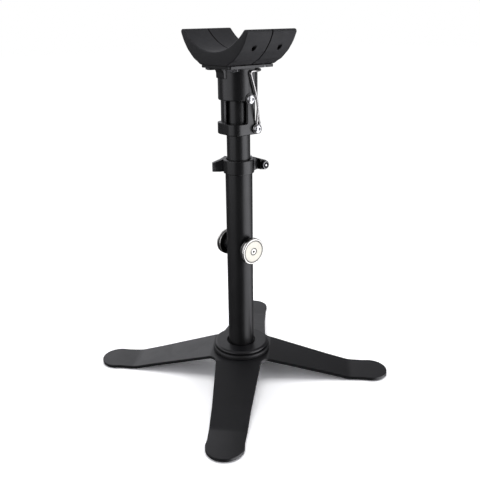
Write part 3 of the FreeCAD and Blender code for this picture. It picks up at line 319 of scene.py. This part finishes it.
SURFACES = [
    black_coat("black_steel", base=0.0055, rough=0.36, cool=0.10, peel=1.1, edge=0.35, spec=0.55),
    black_coat("black_tube", base=0.0075, rough=0.34, cool=0.04, peel=0.6, edge=0.2),
    black_coat("black_alloy", base=0.0065, rough=0.3, cool=0.05, peel=0.5, edge=0.45, spec=0.55),
    black_coat("black_polymer", base=0.006, rough=0.5, peel=1.2, edge=0.2),
    black_coat("grip_plastic", base=0.036, rough=0.38, peel=5.0, edge=0.9, spec=0.9),
    black_coat("pale_polymer", base=0.60, rough=0.45, cool=-0.05, peel=0.6, edge=0.0),
    seam_shaded_rubber("cradle_rubber", base=0.0145, rough=0.60, half=0.0008),
    rubber("foot_rubber", base=0.012, rough=0.7, grain=3.0),
    metal("raw_steel", colour=(0.50, 0.50, 0.51), rough=0.35, brush_axis=2),
    metal("zinc_steel", colour=(0.66, 0.66, 0.67), rough=0.24, brush=0.2),
    banded("nut_black", colour=(0.035, 0.035, 0.038), rough=0.30, centre=CLAMP_AXIS,
           rings=[(0.0041, 0.0005, (0.20, 0.20, 0.205, 1)),
                  (0.0029, 0.0006, (0.010, 0.010, 0.011, 1))],
           dirt=0.2, edge_radius=0.0008),
    banded("bolt_end", colour=(0.62, 0.62, 0.63), rough=0.24, centre=CLAMP_AXIS,
           rings=[(0.0021, 0.0010, (0.02, 0.02, 0.022, 1))], dirt=0.2),
    banded("nickel", colour=(0.80, 0.785, 0.745), rough=0.20, centre=MAGNET_AXIS,
           # rings of painted shade: in the groove by the rim, in the gap round the screw head and
           # in the hex socket
           rings=[(0.0138, 0.0003, (0.22, 0.215, 0.20, 1)),
                  (0.0039, 0.0005, (0.02, 0.019, 0.018, 1)),
                  (0.0004, 0.0012, (0.015, 0.015, 0.015, 1))],
           # painted shade on the cup sides, darker towards the back
           side_shade=[(0.0222, 0.0016, (0.09, 0.088, 0.085, 1)),
                  (0.0187, 0.0011, (0.06, 0.058, 0.056, 1))]),
    banded("magnet_face", colour=(0.52, 0.505, 0.445), rough=0.36, centre=MAGNET_AXIS,
           # ring of painted shade in the groove by the rim
           rings=[(0.0133, 0.0009, (0.20, 0.195, 0.18, 1))]),
    metal("dark_screw", colour=(0.16, 0.16, 0.165), rough=0.34, dirt=0.3),
    metal("bare_alloy", colour=(0.85, 0.85, 0.86), rough=0.28, brush_axis=2, brush=0.5, dirt=0.2),
    metal("spring_wire", colour=(0.52, 0.51, 0.50), rough=0.24, brush=0.15, dirt=0.3),
]
MATERIALS = {surface.name: surface.mat for surface in SURFACES}


# ============================================================ CAD pieces
EDGE_ANGLE = math.radians(32)    # edges sharper than this are bevelled and stay crisp

# pieces that take another material than the one in their CAD record
OWN_MATERIAL = {"clamp_nut": "nut_black", "clamp_washer": "nut_black", "clamp_bolt": "bolt_end"}

# bevel width of each machined or moulded piece
EDGE_WIDTH = {
    "star_base": 0.0005, "hub_ring": 0.0008, "post_flange": 0.0007,
    "magnet_standoffs": 0.0004, "magnet_cups": 0.0004, "magnet_rings": 0.0002,
    "magnet_screws": 0.00025, "clamp_ring": 0.0006, "clamp_washer": 0.0002,
    "clamp_nut": 0.0004, "clamp_lever": 0.0005, "clamp_lever_grip": 0.0010,
    "head_carrier": 0.0010, "cradle_socket": 0.0006, "head_plate": 0.0004,
    "pad_screws": 0.0003, "catch_screws": 0.0003, "bail_pivot_screws": 0.0003,
    "outer_tube": 0.0003, "inner_post": 0.0003, "foot_pads": 0.0003,
}
WIDE_EDGE = 0.0009               # bevels wider than this get a third segment


def soft_shading_group():
    """Shade smooth up to EDGE_ANGLE and keep sharper edges crisp."""
    group = bpy.data.node_groups.new("soft_shading", "GeometryNodeTree")
    group.is_modifier = True
    for direction in ("INPUT", "OUTPUT"):
        group.interface.new_socket(
            name="Geometry", in_out=direction, socket_type="NodeSocketGeometry")
    add, link = group.nodes.new, group.links.new
    start, end = add("NodeGroupInput"), add("NodeGroupOutput")
    drop_normals = add("GeometryNodeRemoveAttribute")
    drop_normals.inputs["Name"].default_value = "custom_normal"
    faces = add("GeometryNodeSetShadeSmooth")
    faces.domain = "FACE"
    angle = add("GeometryNodeInputMeshEdgeAngle")
    is_soft = add("FunctionNodeCompare")
    is_soft.data_type = "FLOAT"
    is_soft.operation = "LESS_EQUAL"
    is_soft.inputs["B"].default_value = EDGE_ANGLE
    edges = add("GeometryNodeSetShadeSmooth")
    edges.domain = "EDGE"
    link(start.outputs[0], drop_normals.inputs["Geometry"])
    link(drop_normals.outputs["Geometry"], faces.inputs["Geometry"])
    link(faces.outputs[0], edges.inputs["Geometry"])
    link(angle.outputs["Unsigned Angle"], is_soft.inputs["A"])
    link(is_soft.outputs[0], edges.inputs["Shade Smooth"])
    link(edges.outputs[0], end.inputs[0])
    return group


def refine(obj, width, shading):
    """Break the sharp edges of a piece with a small real radius."""
    modifier(obj, "merge", "WELD", merge_threshold=2e-6)
    modifier(obj, "flats", "DECIMATE", decimate_type="DISSOLVE", angle_limit=math.radians(0.6))
    modifier(obj, "edges", "BEVEL", width=width, segments=3 if width > WIDE_EDGE else 2,
             limit_method="ANGLE", angle_limit=EDGE_ANGLE, use_clamp_overlap=True,
             harden_normals=False, miter_outer="MITER_ARC")
    modifier(obj, "shading", "NODES", node_group=shading)
    modifier(obj, "normals", "WEIGHTED_NORMAL", keep_sharp=True, weight=60)


def dress_cad_pieces():
    shading = soft_shading_group()
    slots = {part["node"]: part["material_slot"] for part in frame["record"]["subparts"]}
    for name, obj in NODES.items():
        material = OWN_MATERIAL[name] if name in OWN_MATERIAL else slots[name]
        obj.data.materials.clear()
        obj.data.materials.append(MATERIALS[material])
        if name in EDGE_WIDTH:
            refine(obj, EDGE_WIDTH[name], shading)


dress_cad_pieces()


# ============================================================ moulded rubber cradle
SEAM_HALF_GAP = 0.00003          # the pads almost touch, so the seam is a rounded groove
OUTER_RADIUS = 0.0012            # edge radius on the end face away from the seam
SEAM_RADIUS = 0.0011             # edge radius at the seam
ARC_STEPS = 7                    # steps round each edge radius
SPAN_STEPS = 6                   # steps across the straight middle
OUTLINE_POINTS = 320
SOFT_BELOW_Z = 0.412             # the outline is smoothed most below this height
SOFT_ROUNDS = 8
BOTTOM_LIFT = 0.00005            # the smoothed outline stays this far above the CAD bottom
CUTTER_SIDES = 28
SCREW_Y, SCREW_Z = 0.0175, 0.403
# name, near x, far x, near radius, far radius; mirrored to both sides in x
SCREW_CUTS = (
    ("hole", 0.0435, 0.0620, 0.0024, 0.0024),
    ("sink", 0.0480, 0.0525, 0.0022, 0.0040),
)


def neighbours(ring):
    """(previous, point, next) for each point of a closed ring."""
    return zip(ring[-1:] + ring[:-1], ring, ring[1:] + ring[:1])


def face_boundary(mesh, y):
    """Merged points, and the boundary links between them, of the flat face at y."""
    index_of, points, merged = {}, [], []
    for vertex in mesh.vertices:
        place = tuple(round(c, 5) for c in vertex.co)
        if place not in index_of:
            index_of[place] = len(points)
            points.append(vertex.co.copy())
        merged.append(index_of[place])
    uses = {}
    for polygon in mesh.polygons:
        corners = [merged[i] for i in polygon.vertices]
        if all(abs(points[i].y - y) < 2e-5 for i in corners):
            for a, b in zip(corners, corners[1:] + corners[:1]):
                if a != b:
                    edge = (min(a, b), max(a, b))
                    uses[edge] = uses.get(edge, 0) + 1
    links = {}
    for (a, b), count in uses.items():
        if count == 1:
            links.setdefault(a, []).append(b)
            links.setdefault(b, []).append(a)
    return points, links


def side_profile(mesh, y):
    """Longest outline of the flat end face at y, as ordered (x, z) pairs."""
    points, links = face_boundary(mesh, y)
    longest, seen = [], set()
    for first in links:
        if first in seen:
            continue
        loop = [first]
        seen.add(first)
        while True:
            onward = [i for i in links[loop[-1]] if i not in seen]
            if not onward:
                break
            seen.add(onward[0])
            loop.append(onward[0])
        if len(loop) > len(longest):
            longest = loop
    return [(points[i].x, points[i].z) for i in longest]


def signed_area(ring):
    return 0.5 * sum(a[0] * b[1] - b[0] * a[1] for a, b in zip(ring, ring[1:] + ring[:1]))


def resample(ring, count):
    """Evenly spaced points round a closed outline."""
    closed = ring + [ring[0]]
    travelled = [0.0]
    for a, b in zip(closed, closed[1:]):
        travelled.append(travelled[-1] + math.hypot(b[0] - a[0], b[1] - a[1]))
    out, k = [], 0
    for i in range(count):
        target = travelled[-1] * i / count
        while travelled[k + 1] < target:
            k += 1
        part = (target - travelled[k]) / max(travelled[k + 1] - travelled[k], 1e-12)
        a, b = closed[k], closed[k + 1]
        out.append((a[0] + (b[0] - a[0]) * part, a[1] + (b[1] - a[1]) * part))
    return out


def relax(ring):
    return [((a[0] + 2 * b[0] + c[0]) / 4, (a[1] + 2 * b[1] + c[1]) / 4)
            for a, b, c in neighbours(ring)]


def inset(ring, depth):
    """Move a counter-clockwise outline inwards by depth."""
    out = []
    for a, b, c in neighbours(ring):
        along = Vector((c[0] - a[0], c[1] - a[1])).normalized()
        out.append((b[0] - along.y * depth, b[1] + along.x * depth))
    return out


def pad_outline(mesh, y):
    """The CAD outline, evenly spaced and softened."""
    profile = side_profile(mesh, y)
    if signed_area(profile) < 0:
        profile.reverse()
    bottom = min(z for _, z in profile)
    ring = resample(profile, OUTLINE_POINTS)
    for _ in range(SOFT_ROUNDS):
        ring = [soft if sharp[1] < SOFT_BELOW_Z else sharp
                for sharp, soft in zip(ring, relax(ring))]
    return [(x, max(z, bottom + BOTTOM_LIFT)) for x, z in relax(ring)]


def rounded_end(end, radius, inward):
    """(y, inset depth) stations of an edge radius, from the straight span to the end."""
    stations = []
    for k in range(ARC_STEPS + 1):
        angle = math.pi / 2 * k / ARC_STEPS
        stations.append((end + inward * radius * (1 - math.sin(angle)),
                         radius * (1 - math.cos(angle))))
    return stations


def pad_stations(outer_y, side):
    """(y, inset depth) stations across a pad, from its low y end to its high y end."""
    low, high = sorted([(outer_y, OUTER_RADIUS), (side * SEAM_HALF_GAP, SEAM_RADIUS)])
    low_arc = rounded_end(*low, inward=1)
    high_arc = rounded_end(*high, inward=-1)
    start, stop = low_arc[0][0], high_arc[0][0]
    middle = [(start + (stop - start) * k / SPAN_STEPS, 0.0) for k in range(1, SPAN_STEPS)]
    return low_arc[::-1] + middle + high_arc


def bridge(bm, first, second):
    """Join two closed rings of vertices with quads."""
    count = len(first)
    for i in range(count):
        j = (i + 1) % count
        bm.faces.new((first[i], first[j], second[j], second[i]))


def cone_cutter(name, x0, x1, radius0, radius1, y, z):
    """Closed cone or cylinder along X."""
    bm = bmesh.new()
    rings = []
    for x, radius in ((x0, radius0), (x1, radius1)):
        angles = [2 * math.pi * k / CUTTER_SIDES for k in range(CUTTER_SIDES)]
        rings.append([bm.verts.new((x, y + radius * math.cos(a), z + radius * math.sin(a)))
                      for a in angles])
    bridge(bm, *rings)
    bm.faces.new(rings[0][::-1])
    bm.faces.new(rings[1])
    bmesh.ops.recalc_face_normals(bm, faces=bm.faces[:])
    return link_bmesh(name, bm)


def baked(obj, cutters, material):
    """Apply boolean cutters and hand back a clean mesh object."""
    for k, cutter in enumerate(cutters):
        modifier(obj, "cut%d" % k, "BOOLEAN", operation="DIFFERENCE", solver="EXACT",
                 object=cutter)
    depsgraph = bpy.context.evaluated_depsgraph_get()
    mesh = bpy.data.meshes.new_from_object(obj.evaluated_get(depsgraph))
    name = obj.name
    for spent in (*cutters, obj):
        bpy.data.objects.remove(spent, do_unlink=True)
    result = link_object(name, mesh)
    mesh.materials.clear()
    mesh.materials.append(material)
    for polygon in mesh.polygons:
        polygon.use_smooth = True
    mesh.set_sharp_from_angle(angle=math.radians(38))
    return result


def cradle_pad(name, node):
    """Rounded pad swept along Y, with two countersunk screw holes."""
    mesh = NODES[node].data
    outer_y = max((vertex.co.y for vertex in mesh.vertices), key=abs)
    side = -1 if outer_y < 0 else 1
    outline = pad_outline(mesh, outer_y)
    bm = bmesh.new()
    rows = [[bm.verts.new((x, y, z)) for x, z in inset(outline, depth)]
            for y, depth in pad_stations(outer_y, side)]
    for first, second in zip(rows, rows[1:]):
        bridge(bm, first, second)
    caps = [bm.faces.new(rows[0]), bm.faces.new(rows[-1][::-1])]
    bm.normal_update()
    bmesh.ops.triangulate(bm, faces=caps, ngon_method="EAR_CLIP")
    bmesh.ops.recalc_face_normals(bm, faces=bm.faces[:])
    pad = link_bmesh(name, bm)
    cutters = [
        cone_cutter("%s%d" % (label, sx), sx * x0, sx * x1, radius0, radius1,
                    side * SCREW_Y, SCREW_Z)
        for sx in (1, -1)
        for label, x0, x1, radius0, radius1 in SCREW_CUTS
    ]
    pad = baked(pad, cutters, MATERIALS["cradle_rubber"])
    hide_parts(node)
    return pad


BODY_OF = {member: body
           for body, members in frame["record"]["behaviour"]["bodies"].items()
           for member in members}
for label, node_name in (("cradle_rubber_front", "cradle_pad_front"),
                         ("cradle_rubber_rear", "cradle_pad_rear")):
    piece = cradle_pad(label, node_name)
    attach(piece, BODY_OF[node_name])


# ============================================================ floor and backdrop
FLOOR_WHITE = 1.25               # diffuse albedo of the floor near the stand
FLOOR_GLOW = 1.05                # emission of the floor further out
FLOOR_FADE = (0.26, 0.62)        # distance over which one turns into the other


def floor():
    """White floor: soft shadows near the stand, running out to plain white."""
    bm = bmesh.new()
    bmesh.ops.create_grid(bm, x_segments=8, y_segments=8, size=7.0)
    obj = link_bmesh("floor", bm)
    obj.location.z = -0.0002
    mat = bpy.data.materials.new("floor_white")
    g = Graph(mat)
    out = g.add("OutputMaterial")
    mix = g.add("MixShader")
    diffuse = g.add("BsdfDiffuse")
    diffuse.inputs["Color"].default_value = (FLOOR_WHITE, FLOOR_WHITE, FLOOR_WHITE, 1)
    glow = g.add("Emission")
    glow.inputs["Color"].default_value = (1, 1, 1, 1)
    glow.inputs["Strength"].default_value = FLOOR_GLOW
    distance = g.vector_math("LENGTH", g.add("TexCoord").outputs["Object"])
    g.link(g.remap(distance, span=FLOOR_FADE, smooth=True), mix.inputs[0])
    g.link(diffuse.outputs[0], mix.inputs[1])
    g.link(glow.outputs[0], mix.inputs[2])
    g.link(mix.outputs[0], out.inputs[0])
    obj.data.materials.append(mat)
    obj.visible_glossy = False
    obj.visible_diffuse = False


def backdrop():
    """White sphere round the set that only the camera sees."""
    bm = bmesh.new()
    bmesh.ops.create_uvsphere(bm, u_segments=32, v_segments=16, radius=9.0)
    obj = link_bmesh("backdrop", bm)
    mat = bpy.data.materials.new("backdrop_white")
    g = Graph(mat)
    out = g.add("OutputMaterial")
    glow = g.add("Emission")
    glow.inputs["Strength"].default_value = 1.0
    g.link(glow.outputs[0], out.inputs[0])
    obj.data.materials.append(mat)
    for ray in ("diffuse", "glossy", "transmission", "volume_scatter", "shadow"):
        setattr(obj, "visible_" + ray, False)


# ============================================================ world, light and camera
VIEW_AZIMUTH = math.radians(-38.4)    # from +X towards -Y: where the camera stands
TO_CAM = Vector((math.cos(VIEW_AZIMUTH), math.sin(VIEW_AZIMUTH), 0.0))
RIGHT = Vector((-TO_CAM.y, TO_CAM.x, 0.0))

# Soft panels of light in the world, angles in degrees:
# azimuth from the camera direction (positive to the right), half width, softness,
# elevation, half height, softness, radiance
PANELS = [
    (66, 20, 13, 12, 22, 14, 2.7),
    (76, 30, 22, -50, 32, 12, 1.55),
    (77, 28, 24, -64, 14, 12, 1.6),
    (-62, 24, 16, 14, 20, 12, 1.45),
    (-140, 18, 50, 27, 11, 10, 1.12),
    (180, 40, 25, 4, 7, 10, 0.2),
    (0, 180, 0, 80, 12, 22, 0.34),
]
AMBIENT = 0.10                        # radiance between the panels
WORLD_TINT = (0.985, 0.985, 1.03)


def world():
    studio = bpy.data.worlds.new("studio")
    scene.world = studio
    g = Graph(studio)
    out = g.add("OutputWorld")
    background = g.add("Background")
    g.link(background.outputs[0], out.inputs[0])
    direction = g.add("TexCoord").outputs["Generated"]

    def along(axis):
        return g.vector_math("DOT_PRODUCT", direction, tuple(axis))

    def degrees(angle):
        return g.math("MULTIPLY", angle, 180.0 / math.pi)

    def fade(offset, half, soft):
        away = g.math("ABSOLUTE", offset)
        return g.remap(away, span=(half + soft, half), smooth=True)

    azimuth = degrees(g.math("ARCTAN2", along(RIGHT), along(TO_CAM)))
    elevation = degrees(g.math("ARCSINE", along((0.0, 0.0, 1.0))))
    total = None
    for az, az_half, az_soft, el, el_half, el_soft, radiance in PANELS:
        height = fade(g.math("SUBTRACT", elevation, el), el_half, el_soft)
        panel = g.math("MULTIPLY", height, radiance)
        if az_half < 180:
            turn = g.math("WRAP", g.math("SUBTRACT", azimuth, az), 180.0, -180.0)
            panel = g.math("MULTIPLY", panel, fade(turn, az_half, az_soft))
        total = panel if total is None else g.math("ADD", total, panel)
    total = g.math("ADD", total, AMBIENT)
    tint = g.add("CombineColor")
    for channel, strength in zip(tint.inputs, WORLD_TINT):
        g.link(g.math("MULTIPLY", total, strength), channel)
    g.link(tint.outputs[0], background.inputs["Color"])
    background.inputs["Strength"].default_value = 1.0
    studio.cycles.sampling_method = "MANUAL"
    studio.cycles.sample_map_resolution = 512


def top_light(turn=math.radians(175), reach=0.25, height=2.2, size=1.3, power=30.0):
    """Square panel overhead: turn is measured to the right of the camera direction."""
    light = bpy.data.lights.new("box_top", "AREA")
    light.shape = "RECTANGLE"
    light.size = light.size_y = size
    light.energy = power
    obj = link_object("box_top", light)
    away = TO_CAM * math.cos(turn) + RIGHT * math.sin(turn)
    obj.location = Vector((away.x * reach, away.y * reach, height))
    aim = Vector((0, 0, 0.1))
    obj.rotation_mode = "QUATERNION"
    obj.rotation_quaternion = (obj.location - aim).normalized().to_track_quat("Z", "Y")
    obj.visible_glossy = False


def camera(place=(0.5468, -0.4332, 0.434928), pitch=0.353467, roll=-0.0144467):
    """Camera looking down by pitch and turned by roll, both in radians."""
    data = bpy.data.cameras.new("camera")
    data.sensor_width = 36.0
    data.lens = 45.5847
    data.clip_start = 0.02
    data.clip_end = 60.0
    obj = link_object("camera", data)
    forward = Vector((-TO_CAM.x * math.cos(pitch), -TO_CAM.y * math.cos(pitch),
                      -math.sin(pitch)))
    level_up = RIGHT.cross(forward)
    right = RIGHT * math.cos(roll) + level_up * math.sin(roll)
    up = -RIGHT * math.sin(roll) + level_up * math.cos(roll)
    rows = zip(right, up, -forward, place)
    obj.matrix_world = Matrix((*rows, (0, 0, 0, 1)))
    scene.camera = obj


scene.view_settings.view_transform = "Standard"
scene.view_settings.look = "None"
scene.view_settings.exposure = 0.0
scene.view_settings.gamma = 1.0
floor()
backdrop()
world()
top_light()
camera()
